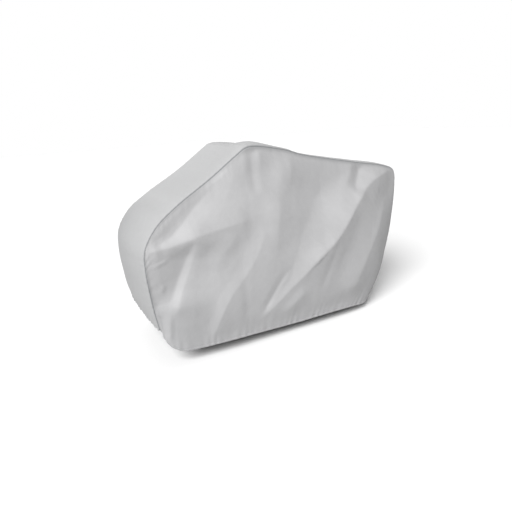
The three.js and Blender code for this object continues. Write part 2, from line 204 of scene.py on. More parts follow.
# Folds of each side panel: the crest's path in the side view from its upper or rear end to its
# lower or front end; at even steps of the path the widths of its flanks ahead and behind and its
# rise, below zero in a hollow; its fade at the two ends, and how sharp its crest is
Fold = namedtuple("Fold", "path front rear rise fade crisp")
LEFT_FOLDS = [
    # long fold from the tail's upper corner to the hem
    Fold([(1.68, 1.025), (1.405, 0.945), (1.208, 0.803), (1.008, 0.606), (0.806, 0.462),
          (0.424, 0.172)],
         [0.10, 0.16, 0.28, 0.25, 0.06, 0.035], [0.14, 0.20, 0.28, 0.34, 0.40, 0.14],
         [0.012, 0.034, 0.057, 0.049, 0.012, 0.006], 0.13, 0.9),
    # hollow ahead of its foot, and the step where its foot begins
    Fold([(0.66, 0.50), (0.56, 0.38), (0.42, 0.19)], [0.05], [0.03],
         [-0.004, -0.006, -0.006], 0.10, 0.7),
    Fold([(1.00, 0.605), (0.90, 0.590), (0.76, 0.575)], [0.14], [0.10],
         [0.000, -0.008, -0.005, 0.000], 0.04, 0.8),
    # second fold behind it, the crease between them, and the low fold under its foot
    Fold([(1.57, 0.84), (1.43, 0.62), (1.30, 0.43), (1.19, 0.24), (1.13, 0.12)], [0.22], [0.34, 0.30],
         [0.018, 0.030, 0.020, 0.006], 0.16, 0.5),
    Fold([(1.04, 0.62), (0.96, 0.44), (0.88, 0.26)], [0.05], [0.06], [-0.003], 0.09, 0.6),
    Fold([(1.00, 0.615), (0.72, 0.415)], [0.11], [0.03], [0.009], 0.20, 0.3),
    Fold([(0.79, 0.32), (0.58, 0.15)], [0.07], [0.10], [0.009], 0.10, 0.3),
    # fullness above the drawn-in hem
    Fold([(1.32, 0.26), (0.70, 0.23), (0.10, 0.25)], [0.26], [0.15],
         [0.022, 0.006, 0.012], 0.20, 0.0),
    Fold([(0.34, 0.31), (0.05, 0.32), (-0.21, 0.35)], [0.42, 0.40, 0.16], [0.22],
         [0.002, 0.013, 0.013, 0.003], 0.06, 0.0),
    # fullness of the middle
    Fold([(1.10, 0.48), (0.64, 0.49), (0.28, 0.52)], [0.34], [0.28],
         [0.000, 0.007, 0.013, 0.008, 0.000], 0.10, 0.0),
    # short fold, notch and hollow under the rear seam
    Fold([(1.27, 1.12), (1.18, 0.96), (1.06, 0.81)], [0.09], [0.08], [0.002], 0.12, 0.5),
    Fold([(1.37, 1.09), (1.235, 0.88)], [0.09], [0.20], [-0.024], 0.08, 0.5),
    Fold([(1.34, 0.92), (1.12, 0.90), (0.95, 0.90), (0.76, 0.95), (0.60, 1.00)], [0.26], [0.18],
         [-0.003, -0.012, -0.020, -0.013, -0.003], 0.14, 0.0),
    # hollow below the crown, and the folds that fall from it
    Fold([(0.68, 1.06), (0.52, 1.11), (0.36, 1.05)], [0.12], [0.14], [-0.009], 0.15, 0.0),
    Fold([(0.735, 1.27), (0.735, 1.10), (0.70, 0.92)], [0.16], [0.34],
         [0.015, 0.013, 0.005], 0.16, 0.7),
    Fold([(0.63, 1.04), (0.59, 0.80), (0.55, 0.60), (0.47, 0.42)],
         [0.15, 0.15, 0.12], [0.40, 0.42, 0.22], [0.019, 0.026, 0.010, 0.003], 0.18, 0.3),
    Fold([(0.68, 1.02), (0.68, 0.80), (0.64, 0.52)], [0.22], [0.30],
         [-0.002, -0.006, -0.006, -0.002], 0.14, 0.0),
    Fold([(0.53, 1.285), (0.53, 1.07)], [0.05], [0.08], [0.003, 0.002, 0.001], 0.06, 0.6),
    Fold([(0.485, 1.285), (0.472, 1.16), (0.464, 1.05), (0.460, 0.96)],
         [0.08, 0.06, 0.04], [0.06, 0.05], [-0.009, -0.007, -0.005, -0.002], 0.05, 0.4),
    # sharp crease across the nose, the shoulder it runs into, and the edge of the slope above it
    Fold([(0.42, 0.834), (0.30, 0.825), (0.20, 0.808), (0.05, 0.786), (-0.10, 0.752), (-0.27, 0.735)],
         [0.14, 0.15, 0.18, 0.09, 0.03], [0.15, 0.18, 0.22, 0.27, 0.28],
         [0.006, 0.017, 0.023, 0.018, 0.008], 0.08, 1.0),
    Fold([(0.86, 0.87), (0.60, 0.86), (0.30, 0.830), (0.05, 0.786), (-0.24, 0.735)],
         [0.20, 0.22, 0.26, 0.22, 0.10], [0.30, 0.32, 0.34, 0.26, 0.20],
         [0.000, 0.008, 0.016, 0.025, 0.004], 0.12, 0.0),
    Fold([(0.37, 1.16), (0.27, 0.98), (0.15, 0.81)], [0.22, 0.20], [0.36], [0.012], 0.10, 0.5),
    # cloth drawn straight down beside the slope's seam
    Fold([(0.26, 1.09), (0.11, 0.985), (0.01, 0.895), (-0.09, 0.81), (-0.21, 0.76)],
         [0.025, 0.05, 0.07, 0.085, 0.06], [0.10], [0.000, -0.004, -0.012, -0.015, -0.008], 0.05, 0.6),
    # valley and hollow below the nose, the fold behind them, and the small creases by the seam
    Fold([(0.04, 0.77), (-0.02, 0.66), (-0.085, 0.53), (-0.14, 0.435), (-0.20, 0.415), (-0.26, 0.41)],
         [0.07, 0.16, 0.18, 0.16, 0.11, 0.07], [0.055, 0.07, 0.08, 0.08, 0.08, 0.06],
         [-0.005, -0.009, -0.011, -0.011, -0.007, -0.005], 0.04, 0.9),
    Fold([(-0.06, 0.78), (-0.085, 0.60), (-0.115, 0.38)], [0.21], [0.36], [-0.022], 0.12, 0.0),
    Fold([(0.05, 0.74), (0.01, 0.64), (-0.045, 0.52), (-0.105, 0.40), (-0.135, 0.32)],
         [0.055], [0.08, 0.12, 0.18, 0.24], [0.005, 0.007, 0.010, 0.013], 0.08, 0.9),
    Fold([(-0.163, 0.36), (-0.182, 0.15)], [0.03], [0.03], [0.005], 0.07, 0.6),
    Fold([(-0.215, 0.38), (-0.203, 0.17)], [0.03], [0.03], [-0.006], 0.06, 0.3),
    Fold([(-0.12, 0.678), (-0.235, 0.640)], [0.02], [0.025], [0.003], 0.04, 0.5),
    Fold([(-0.165, 0.545), (-0.20, 0.47)], [0.03], [0.03], [0.003], 0.04, 0.4),
    # hollow just behind the seam below the nose
    Fold([(-0.175, 0.70), (-0.195, 0.62), (-0.195, 0.53), (-0.180, 0.40)],
         [0.075], [0.10], [-0.004], 0.05, 0.0),
    # long soft folds between the nose and the crown
    Fold([(0.50, 0.80), (0.43, 0.62), (0.33, 0.49), (0.21, 0.37), (0.12, 0.22), (0.07, 0.09)],
         [0.10, 0.09, 0.08, 0.07, 0.06], [0.24, 0.22, 0.20, 0.16, 0.10], [0.009], 0.12, 0.8),
    Fold([(0.34, 0.80), (0.11, 0.55)], [0.09], [0.08], [0.006], 0.12, 0.4),
]
RIGHT_FOLDS = [
    # long fold from the tail's upper corner to the hem, and the folds behind and below it
    Fold([(1.56, 1.06), (1.20, 0.74), (0.90, 0.44), (0.60, 0.12)],
         [0.12, 0.22, 0.16, 0.06], [0.24, 0.20, 0.16, 0.10], [0.030, 0.052, 0.040, 0.012], 0.16, 0.7),
    Fold([(1.64, 0.80), (1.40, 0.46), (1.16, 0.09)], [0.17], [0.24, 0.20], [0.015], 0.20, 0.4),
    Fold([(0.88, 0.52), (0.68, 0.09)], [0.10], [0.10], [-0.010], 0.15, 0.3),
    # fullness above the drawn-in hem
    Fold([(1.30, 0.25), (0.60, 0.24), (0.10, 0.26)], [0.26], [0.15], [0.014], 0.24, 0.0),
    Fold([(0.30, 0.29), (0.04, 0.30), (-0.205, 0.33)], [0.26, 0.22, 0.12], [0.18],
         [0.002, 0.010, 0.012, 0.004], 0.06, 0.0),
    # short fold and hollow under the rear seam
    Fold([(1.22, 1.13), (0.94, 0.73)], [0.13], [0.09], [0.014], 0.12, 0.6),
    Fold([(1.00, 1.17), (0.94, 0.90)], [0.18], [0.14], [-0.009], 0.15, 0.0),
    # folds that fall from the crown
    Fold([(0.56, 1.26), (0.58, 0.80), (0.65, 0.34)], [0.15], [0.22],
         [0.020, 0.016, 0.008], 0.22, 0.4),
    Fold([(0.45, 1.24), (0.37, 0.90)], [0.08], [0.09], [0.011], 0.11, 0.5),
    # shoulder that runs into the nose, and the hollows under it
    Fold([(0.56, 0.885), (0.30, 0.850), (0.00, 0.765), (-0.26, 0.715)],
         [0.14, 0.26, 0.24, 0.09], [0.16, 0.18, 0.22, 0.24], [0.006, 0.040, 0.050, 0.012], 0.15, 0.5),
    Fold([(0.22, 1.07), (0.14, 0.66)], [0.14], [0.13], [0.014], 0.12, 0.4),
    Fold([(0.02, 0.72), (-0.09, 0.52), (-0.15, 0.40)], [0.13], [0.08],
         [-0.012, -0.020, -0.014], 0.06, 0.8),
    Fold([(-0.14, 0.74), (-0.17, 0.38)], [0.11], [0.26], [-0.016], 0.12, 0.0),
    Fold([(0.45, 0.60), (0.16, 0.08)], [0.11], [0.16], [0.015], 0.17, 0.6),
]


def smooth(share):
    share = np.clip(share, 0.0, 1.0)
    return share * share * (3.0 - 2.0 * share)


def unit(vectors):
    return vectors / np.maximum(np.linalg.norm(vectors, axis=-1, keepdims=True), 1e-12)


# Curves
CURVE_STEPS = 48


def curve_through(points):
    """Centripetal curve through the points, with CURVE_STEPS samples from each one to the next."""
    points = np.array(points, float)
    ends = np.vstack([2 * points[0] - points[1], points, 2 * points[-1] - points[-2]])
    t = np.linspace(0.0, 1.0, CURVE_STEPS, endpoint=False)[:, None]
    spans = []
    for before, start, stop, after in zip(ends, ends[1:], ends[2:], ends[3:]):
        steps = (start - before, stop - start, after - stop)
        d0, d1, d2 = np.sqrt([np.linalg.norm(step) for step in steps])
        leave = d1 * ((start - before) / d0 - (stop - before) / (d0 + d1)) + (stop - start)
        reach = (stop - start) + d1 * ((after - stop) / d2 - (after - start) / (d1 + d2))
        bend = 3 * (stop - start) - 2 * leave - reach
        settle = leave + reach - 2 * (stop - start)
        spans.append(start + t * (leave + t * (bend + t * settle)))
    return np.vstack([*spans, points[-1:]])


def lengths_along(points):
    steps = np.linalg.norm(np.diff(points, axis=0), axis=1)
    return np.concatenate([[0.0], np.cumsum(steps)])


def values_at(spots, lengths, rows):
    """Rows of vectors given at lengths along a line, at other spots of it."""
    return np.stack([np.interp(spots, lengths, axis) for axis in rows.T], axis=1)


def points_at(curve, shares):
    """Points of a sampled curve at shares of its length."""
    lengths = lengths_along(curve)
    return values_at(shares * lengths[-1], lengths, curve)


# Grid lines: close together beside a seam and at the turned hem, even elsewhere
SEAM_LINES = [0.0, 0.0018, 0.004, 0.0065, 0.0095, 0.0135]
HEM_LINES = [0.0, 0.002, 0.0055, 0.0105, 0.015, 0.0175, 0.0205, 0.025]
DROP_LENGTH = 1.02
DROP_STEPS = 112
RUN_LENGTH = 2.22
RUN_STEPS = 210
ACROSS_STEPS = 46
STITCH_LINE = 4


def grid_lines(first, last, length, steps):
    """Shares from 0 to 1: lines at the first edge, even steps, then lines at the last edge."""
    first = np.array(first) / length
    last = 1.0 - np.array(last[::-1]) / length
    return np.concatenate([first, np.linspace(first[-1], last[0], steps + 1)[1:-1], last])


DROP = grid_lines(SEAM_LINES, HEM_LINES, DROP_LENGTH, DROP_STEPS)
RUN = grid_lines(SEAM_LINES, SEAM_LINES, RUN_LENGTH, RUN_STEPS)
ACROSS = 2.0 * grid_lines(SEAM_LINES, SEAM_LINES, 2 * SEAM[NOSE].half, ACROSS_STEPS) - 1.0

# Seam stations from the front hem over the top to the rear hem
SEAM_CURVE = curve_through([(row.x, row.half, row.z) for row in SEAM])
FRONT_RUN = SEAM_CURVE[: NOSE * CURVE_STEPS + 1][::-1]
TOP_RUN = SEAM_CURVE[NOSE * CURVE_STEPS : TAIL * CURVE_STEPS + 1]
REAR_RUN = SEAM_CURVE[TAIL * CURVE_STEPS :]
FRONT_SEAM = points_at(FRONT_RUN, DROP)
TOP_SEAM = points_at(TOP_RUN, RUN)
REAR_SEAM = points_at(REAR_RUN, DROP)
STATIONS = np.vstack([FRONT_SEAM[::-1], TOP_SEAM[1:], REAR_SEAM[1:]])
STATION_LENGTHS = lengths_along(STATIONS)


def run_normals(stations):
    """Normals of the seam's run in the side view, pointing away from the hollow."""
    along = np.gradient(stations, axis=0)
    return unit(np.stack([-along[:, 2], np.zeros(len(along)), along[:, 0]], axis=1))


STATION_NORMALS = run_normals(STATIONS)
STATION_CORNERS = unit(STATION_NORMALS + np.array([0.0, 1.0, 0.0]))
FRONT_AT = slice(len(DROP) - 1, None, -1)
TOP_AT = slice(len(DROP) - 1, len(DROP) - 1 + len(RUN))
REAR_AT = slice(len(DROP) + len(RUN) - 2, None)


def seam_levels(column):
    """A column of the seam table at every station."""
    lengths = lengths_along(SEAM_CURVE)
    place = np.interp(STATION_LENGTHS, lengths, np.arange(len(lengths)) / CURVE_STEPS)
    row = np.minimum(place.astype(int), len(SEAM) - 2)
    values = np.array([getattr(entry, column) for entry in SEAM])
    return values[row] + (values[row + 1] - values[row]) * smooth(place - row)


# Cloth surfaces as grids of points
def grid_normals(grid):
    return unit(np.cross(np.gradient(grid, axis=0), np.gradient(grid, axis=1)))


def grid_lengths(grid, axis):
    """Length along the grid lines of one axis, from its first edge."""
    steps = np.linalg.norm(np.diff(grid, axis=axis), axis=2)
    start = np.zeros_like(np.take(steps, [0], axis=axis))
    return np.concatenate([start, np.cumsum(steps, axis=axis)], axis=axis)


def even_steps(share, values):
    """Values given at even steps of a path, at shares of its length."""
    return np.interp(share, np.linspace(0.0, 1.0, len(values)), values)


def fold_rise(fold, x, z):
    """Rise of one fold over the side view."""
    path = points_at(curve_through(fold.path), np.linspace(0.0, 1.0, FOLD_SAMPLES))
    lengths = lengths_along(path)
    near = np.full(x.shape, np.inf)
    side = np.zeros(x.shape)
    along = np.zeros(x.shape)
    for start, stop, length in zip(path, path[1:], lengths):
        step = np.linalg.norm(stop - start)
        way = (stop - start) / step
        ahead = np.clip((x - start[0]) * way[0] + (z - start[1]) * way[1], 0.0, step)
        off_x = x - start[0] - ahead * way[0]
        off_z = z - start[1] - ahead * way[1]
        gap = np.hypot(off_x, off_z)
        closer = gap < near
        near = np.where(closer, gap, near)
        side = np.where(closer, off_z * way[0] - off_x * way[1], side)
        along = np.where(closer, length + ahead, along)
    share = along / lengths[-1]
    front, rear, rise = (even_steps(share, values) for values in (fold.front, fold.rear, fold.rise))
    reach = np.clip(near / np.where(side > 0, rear, front), 0.0, 1.0)
    ends = smooth(along / fold.fade) * smooth((lengths[-1] - along) / fold.fade)
    soft = 1.0 - smooth(reach)
    sharp = (1.0 - reach) ** SHARP_FALL
    return rise * ends * (soft + (sharp - soft) * fold.crisp)


def ripple(length, wave, start):
    """Uneven waves along an edge, from -1 to 1."""
    bend = 1.6 * np.sin(2 * pi * length / (5.3 * wave) + start)
    swell = 0.62 + 0.38 * np.sin(2 * pi * length / (3.7 * wave) + 2.1 * start)
    return swell * np.sin(2 * pi * length / wave + bend + start)


def pucker(distance, reach):
    """Share of an edge's puckers at a distance: none on the stitches, most just beside them."""
    return (distance / reach) * np.exp(1.0 - distance / reach)


def crumple(grid, start):
    """Small uneven dents of handled cloth, in metres."""
    flat = grid.reshape(-1, 3)
    spots = flat * DENT_STRETCH + start
    broad = [noise.noise(Vector(spot * BROAD_DENT.count)) for spot in spots]
    fine = [noise.noise(Vector(spot * FINE_DENT.count)) for spot in spots]
    ridges = [-abs(noise.noise(Vector(spot * RIDGE.count + RIDGE_SHIFT))) for spot in spots]
    dents = BROAD_DENT.depth * np.array(broad) + FINE_DENT.depth * np.array(fine)
    dents += RIDGE.depth * np.array(ridges)
    return dents.reshape(grid.shape[:2])


# Outer and inner grid of a piece; painted shade along its seams; its hem channel with the hem's
# grime, the darker pressed stitches and painted shade on the low front; its place on the flat
# cloth, and its stitched lines with their normals
Surface = namedtuple("Surface", "outer inner seam hem place stitches")


def turned_hem(grid, from_hem):
    """The grid with its turned hem standing out and pressed in along the stitches, and both shares."""
    turn = smooth((HEM_TURN - from_hem) / HEM_STEP)
    pressed = np.exp(-(((from_hem - HEM_TURN) / HEM_STEP) ** 2))
    normals = grid_normals(grid)
    return grid + normals * (HEM_EXTRA * turn - HEM_PRESS * pressed)[..., None], turn, pressed


def seam_share(distance):
    """Share of a seam's sink at a distance from it."""
    return np.exp(-((distance / SEAM_WIDTH) ** 2))


def side_surface(hem_rows, folds, start):
    """Left-handed side panel: y is the distance out from the middle."""
    hem = points_at(curve_through([(row.x, row.out, row.z) for row in hem_rows]), RUN)
    u = RUN[:, None, None]
    v = DROP[None, :, None]
    downward = (1 - v) * TOP_SEAM[:, None] + v * hem[:, None]
    rearward = (1 - u) * FRONT_SEAM[None] + u * REAR_SEAM[None]
    front_corner = (1 - v) * TOP_SEAM[0] + v * hem[0]
    rear_corner = (1 - v) * TOP_SEAM[-1] + v * hem[-1]
    patch = downward + rearward - (1 - u) * front_corner - u * rear_corner
    lift = grid_normals(patch)
    u = u[..., 0]
    v = v[..., 0]
    fullness = np.sin(pi * v) * smooth(u / FULL_FROM_FRONT) * smooth((1 - u) / FULL_FROM_REAR)
    grown = smooth(u / FOLD_FROM_ENDS) * smooth((1 - u) / FOLD_FROM_ENDS) * smooth(v / FOLD_FROM_TOP)
    rise = sum(fold_rise(fold, patch[..., 0], patch[..., 2]) for fold in folds)
    from_top = grid_lengths(patch, 1)
    from_front = grid_lengths(patch, 0)
    from_rear = from_front[-1:] - from_front
    from_hem = from_top[:, -1:] - from_top
    top_waves = ripple(STATION_LENGTHS[TOP_AT], TOP_PUCKER_WAVE, start)
    front_waves = ripple(STATION_LENGTHS[FRONT_AT], FRONT_PUCKER_WAVE, start + 1.0)
    rear_waves = ripple(STATION_LENGTHS[REAR_AT], REAR_PUCKER_WAVE, start + 2.0)
    puckers = (
        pucker(from_top, SIDE_PUCKER_REACH) * top_waves[:, None]
        + pucker(from_front, SIDE_PUCKER_REACH) * front_waves[None]
        + pucker(from_rear, SIDE_PUCKER_REACH) * rear_waves[None]
    )
    hem_waves = ripple(lengths_along(hem), SIDE_GATHER_WAVE, start + 3.0)
    loose = smooth(u / TIGHT_AT_FRONT) * smooth((1 - u) / TIGHT_AT_REAR)
    drawn = LOOSE_GATHER + (1.0 - LOOSE_GATHER) * (1.0 - loose)
    gathers = drawn * np.exp(-from_hem / GATHER_REACH) * hem_waves[:, None]
    nearest = np.minimum(np.minimum(from_top, from_front), from_rear)
    tucked = np.exp(-nearest / TUCK_REACH) * smooth(nearest / TUCK_START)
    push = SIDE_FULLNESS * fullness + rise * grown + SIDE_PUCKER * puckers + SIDE_GATHER * gathers
    push += (crumple(patch, start) - TUCK * tucked) * smooth(nearest / CALM_EDGE)
    grid, turn, pressed = turned_hem(patch + lift * push[..., None], from_hem)
    # both pieces sink into the seam along the bisector of their two surfaces
    top_sink = seam_share(from_top)
    front_sink = seam_share(from_front)
    rear_sink = seam_share(from_rear)
    share = np.maximum(top_sink + front_sink + rear_sink, 1.0)
    sink = (
        top_sink[..., None] * STATION_CORNERS[TOP_AT][:, None]
        + front_sink[..., None] * STATION_CORNERS[FRONT_AT][None]
        + rear_sink[..., None] * STATION_CORNERS[REAR_AT][None]
    )
    grid = grid - SEAM_SINK * sink / share[..., None]
    normals = grid_normals(grid)
    inner = grid - normals * (CLOTH + HEM_EXTRA * turn)[..., None]
    edges = ((slice(None), 0, TOP_AT), (0, slice(None), FRONT_AT), (-1, slice(None), REAR_AT))
    for i, j, stations in edges:
        grid[i, j] += np.array([0.0, SEAM_GAP / 2, 0.0])
        wall = STATION_NORMALS[stations] + np.array([0.0, 1.0, 0.0])
        inner[i, j] = grid[i, j] - CLOTH * wall
    place = np.stack([from_front, from_top, np.zeros_like(from_top)], axis=2)
    stitches = [(grid[:, -1 - STITCH_LINE], normals[:, -1 - STITCH_LINE])]
    # painted shadow: behind the crown a darker band is painted under the top and rear seams
    seam_shadow = np.exp(-((np.minimum(from_top, from_rear) / SEAM_SHADOW_WIDTH) ** 2))
    seam_shadow = SEAM_SHADOW * smooth((u - SEAM_SHADOW_FROM) / SEAM_SHADOW_RUN) * seam_shadow
    # painted shade in the sunk seams and their dark line, joined with the painted shadow band
    sewn = np.maximum(np.exp(-((nearest / SEAM_SHADE_WIDTH) ** 2)), seam_shadow)
    # painted shade: the panel's low front is darkened in its colour
    low = smooth((SIDE_PAINTED_SHADE_TOP - patch[..., 2]) / SIDE_PAINTED_SHADE_DROP)
    painted_shade = SIDE_PAINTED_SHADE * smooth((SIDE_PAINTED_SHADE_BEHIND - patch[..., 0]) / SIDE_PAINTED_SHADE_RUN) * low
    # hem channel: the turned hem's grime, the darker pressed stitches and the painted shade
    return Surface(grid, inner, sewn, turn + PRESSED_STITCH_DARKENING * pressed + painted_shade, place, stitches)


def strip_surface(start):
    """Centre strip, crowned over its two seams, bulging at the front and sagging at the top."""
    q = ACROSS[None]
    left, right, sag = (seam_levels(column)[:, None] for column in ("left", "right", "sag"))
    crown = (left + (right - left) * (q + 1) / 2) * (1 - q**4) - sag * (1 - q * q) ** 2
    half = STATIONS[:, 1:2]
    base_x = np.repeat(STATIONS[:, :1], len(ACROSS), 1)
    base_z = np.repeat(STATIONS[:, 2:], len(ACROSS), 1)
    base = np.stack([base_x, q * half, base_z], axis=2)
    from_left = (q + 1) * half
    from_right = (1 - q) * half
    nearest = np.minimum(from_left, from_right)
    from_front = np.repeat(STATION_LENGTHS[:, None], len(ACROSS), 1)
    from_rear = from_front[-1] - from_front
    from_hem = np.minimum(from_front, from_rear)
    left_waves = ripple(STATION_LENGTHS, LEFT_PUCKER_WAVE, start)
    right_waves = ripple(STATION_LENGTHS, RIGHT_PUCKER_WAVE, start + 1.3)
    puckers = (
        pucker(from_left, STRIP_PUCKER_REACH) * left_waves[:, None]
        + pucker(from_right, STRIP_PUCKER_REACH) * right_waves[:, None]
    )
    gathers = np.exp(-from_hem / GATHER_REACH) * ripple(q * half, STRIP_GATHER_WAVE, start + 2.2)
    rolled = EDGE_ROLL * (1.0 - np.exp(-nearest / EDGE_WIDTH))
    calm = smooth(nearest / CALM_EDGE)
    push = crown + rolled + STRIP_PUCKER * puckers + STRIP_GATHER * gathers * calm
    push = push + STRIP_DENTS * crumple(base, start) * calm
    grid, turn, pressed = turned_hem(base + STATION_NORMALS[:, None] * push[..., None], from_hem)
    across = np.array([1.0, -1.0, 1.0])
    left_sink = seam_share(from_left)[..., None]
    right_sink = seam_share(from_right)[..., None]
    sink = right_sink * STATION_CORNERS[:, None] + left_sink * (STATION_CORNERS * across)[:, None]
    grid = grid - SEAM_SINK * sink
    normals = grid_normals(grid)
    inner = grid - normals * (CLOTH + HEM_EXTRA * turn)[..., None]
    for column, side in ((0, -1.0), (-1, 1.0)):
        grid[:, column, 1] -= side * SEAM_GAP / 2
        inner[:, column] = grid[:, column] - CLOTH * (STATION_NORMALS + np.array([0.0, side, 0.0]))
    flat = np.zeros_like(from_front)
    place = np.stack([from_front, from_left + flat, flat], axis=2)
    stitches = [(grid[row], normals[row]) for row in (STITCH_LINE, -1 - STITCH_LINE)]
    # painted shade in the sunk seams and their dark line
    sewn = np.exp(-((nearest / SEAM_SHADE_WIDTH) ** 2))
    # painted shade: the strip's front is darkened, more on its far side
    painted_shade = STRIP_PAINTED_SHADE * smooth((STRIP_PAINTED_SHADE_END - from_front) / STRIP_PAINTED_SHADE_RUN)
    painted_shade = painted_shade * (STRIP_PAINTED_SHADE_MIDDLE + STRIP_PAINTED_SHADE_TILT * q)
    # hem channel: the turned hem's grime, the darker pressed stitches and the painted shade
    return Surface(grid, inner, sewn, turn + PRESSED_STITCH_DARKENING * pressed + painted_shade, place, stitches)


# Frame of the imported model: the origin lies under the crown of the strip
PEAK = SEAM[SEAM_ROWS.index("peak")]
GROUND = -(PEAK.z + (PEAK.left + PEAK.right) / 2 - PEAK.sag - SOLID_CLOTH)
ORIGIN_SHIFT = np.array([-PEAK.x, 0.0, GROUND])


def placed(points, side):
    return points * np.array([1.0, side, 1.0]) + ORIGIN_SHIFT


def smooth_piece(name, points, faces):
    """New smoothly shaded piece in the scene."""
    mesh = bpy.data.meshes.new(name)
    mesh.from_pydata(points, [], faces)
    mesh.polygons.foreach_set("use_smooth", np.ones(len(faces), bool))
    mesh.update()
    piece = bpy.data.objects.new(name, mesh)
    bpy.context.collection.objects.link(piece)
    return piece


def cloth_piece(name, surface, side):
    """Closed mesh between the outer and the inner grid of a surface."""
    rows, columns = surface.outer.shape[:2]
    count = rows * columns
    ids = np.arange(count).reshape(rows, columns)
    outer = np.stack([ids[:-1, :-1], ids[1:, :-1], ids[1:, 1:], ids[:-1, 1:]], axis=2)
    outer = outer.reshape(-1, 4)
    rim = np.concatenate([ids[:-1, 0], ids[-1, :-1], ids[:0:-1, -1], ids[0, :0:-1]])
    after = np.roll(rim, -1)
    walls = np.stack([after, rim, rim + count, after + count], axis=1)
    faces = np.vstack([outer, outer[:, ::-1] + count, walls])
    if side < 0:
        faces = faces[:, ::-1]
    points = np.vstack([surface.outer.reshape(-1, 3), surface.inner.reshape(-1, 3)])
    piece = smooth_piece(name, placed(points, side).tolist(), faces.tolist())
    mesh = piece.data
    for label, values in (("seam", surface.seam), ("hem", surface.hem)):
        shade = mesh.attributes.new(label, "FLOAT", "POINT")
        shade.data.foreach_set("value", np.tile(values.ravel(), 2).astype(np.float32))
    place = mesh.attributes.new("cloth_place", "FLOAT_VECTOR", "POINT")
    spots = np.tile(surface.place.reshape(-1, 3), (2, 1))
    place.data.foreach_set("vector", spots.ravel().astype(np.float32))
    return piece


# Rings of one stitch: its place along the thread, and its radius and height as shares of the thread's
STITCH_RINGS = [
    (-0.5, 0.3, -0.5),
    (-0.3, 0.9, 0.2),
    (0.0, 1.0, 0.45),
    (0.3, 0.9, 0.2),
    (0.5, 0.3, -0.5),
]
STITCH_SIDES = 6


def stitch_piece(name, rows, side):
    """Rows of short pressed-in stitches along lines of the cloth, joined in one mesh."""
    turns = 2 * pi * np.arange(STITCH_SIDES) / STITCH_SIDES
    last_ring = (len(STITCH_RINGS) - 1) * STITCH_SIDES
    points = []
    faces = []
    for line, facing in rows:
        lengths = lengths_along(line)
        centres = np.arange(HEM_PITCH, lengths[-1] - HEM_PITCH / 2, HEM_PITCH)
        spots = values_at(centres, lengths, line)
        lift = unit(values_at(centres, lengths, facing))
        way = unit(values_at(centres, lengths, np.gradient(line, axis=0)))
        beside = unit(np.cross(lift, way))
        for spot, up, ahead, over in zip(spots, lift, way, beside):
            first = len(points)
            for along, swell, high in STITCH_RINGS:
                middle = spot + ahead * (along * HEM_STITCH) + up * (high * HEM_THREAD)
                for turn in turns:
                    around = np.cos(turn) * over + np.sin(turn) * up
                    points.append(middle + HEM_THREAD * swell * around)
            for ring in range(0, last_ring, STITCH_SIDES):
                for k in range(STITCH_SIDES):
                    a = first + ring + k
                    b = first + ring + (k + 1) % STITCH_SIDES
                    faces.append((a, b, b + STITCH_SIDES, a + STITCH_SIDES))
            faces.append(tuple(first + k for k in reversed(range(STITCH_SIDES))))
            faces.append(tuple(first + last_ring + k for k in range(STITCH_SIDES)))
    if side < 0:
        faces = [face[::-1] for face in faces]
    return smooth_piece(name, placed(np.array(points), side).tolist(), faces)


# Materials, with the colour sockets of a mix node
MIX_SHARE = 0
MIX_FIRST = 6
MIX_SECOND = 7
MIX_RESULT = 2


def add_node(tree, kind, **settings):
    made = tree.nodes.new(kind)
    for key, value in settings.items():
        if key in made.inputs:
            made.inputs[key].default_value = value
        else:
            setattr(made, key, value)
    return made


def new_group(name, inputs, outputs):
    """Empty node group with named sockets, each (name, kind)."""
    group = bpy.data.node_groups.new(name, "ShaderNodeTree")
    for label, kind in inputs:
        group.interface.new_socket(name=label, in_out="INPUT", socket_type=kind)
    for label, kind in outputs:
        group.interface.new_socket(name=label, in_out="OUTPUT", socket_type=kind)
    return group, group.nodes.new("NodeGroupInput"), group.nodes.new("NodeGroupOutput")


def embossed_grain_group():
    """Bonded points in staggered rows and the fibres between them."""
    group, given, made = new_group(
        "embossed grain",
        [("Place", "NodeSocketVector"), ("Points per metre", "NodeSocketFloat")],
        [("Points", "NodeSocketFloat"), ("Fibre", "NodeSocketFloat")],
    )
    link = group.links.new
    turned = add_node(group, "ShaderNodeVectorRotate", rotation_type="Z_AXIS", Angle=radians(45))
    link(given.outputs["Place"], turned.inputs["Vector"])
    cells = add_node(group, "ShaderNodeTexVoronoi", voronoi_dimensions="2D", Randomness=0.12)
    link(turned.outputs[0], cells.inputs["Vector"])
    link(given.outputs["Points per metre"], cells.inputs["Scale"])
    dots = group.nodes.new("ShaderNodeMapRange")
    dots.interpolation_type = "SMOOTHSTEP"
    dots.inputs["From Min"].default_value = 0.42
    dots.inputs["From Max"].default_value = 0.22
    link(cells.outputs["Distance"], dots.inputs["Value"])
    fibre = add_node(group, "ShaderNodeTexNoise", Scale=1500.0, Detail=3.0, Roughness=0.6)
    fibre.inputs["Distortion"].default_value = 1.2
    link(given.outputs["Place"], fibre.inputs["Vector"])
    link(dots.outputs["Result"], made.inputs["Points"])
    link(fibre.outputs[0], made.inputs["Fibre"])
    return group


def handled_cloth_group():
    """Cloudy density of the bonded fibres, and the small dimples of folded and handled cloth."""
    group, given, made = new_group(
        "handled cloth",
        [("Place", "NodeSocketVector")],
        [("Cloud", "NodeSocketFloat"), ("Dimple", "NodeSocketFloat")],
    )
    link = group.links.new
    cloud = add_node(group, "ShaderNodeTexNoise", Scale=26.0, Detail=5.0, Roughness=0.62)
    cloud.inputs["Distortion"].default_value = 0.4
    link(given.outputs["Place"], cloud.inputs["Vector"])
    dimple = add_node(group, "ShaderNodeTexNoise", Scale=55.0, Detail=3.0, Roughness=0.5)
    dimple.inputs["Distortion"].default_value = 0.9
    link(given.outputs["Place"], dimple.inputs["Vector"])
    link(cloud.outputs[0], made.inputs["Cloud"])
    link(dimple.outputs[0], made.inputs["Dimple"])
    return group


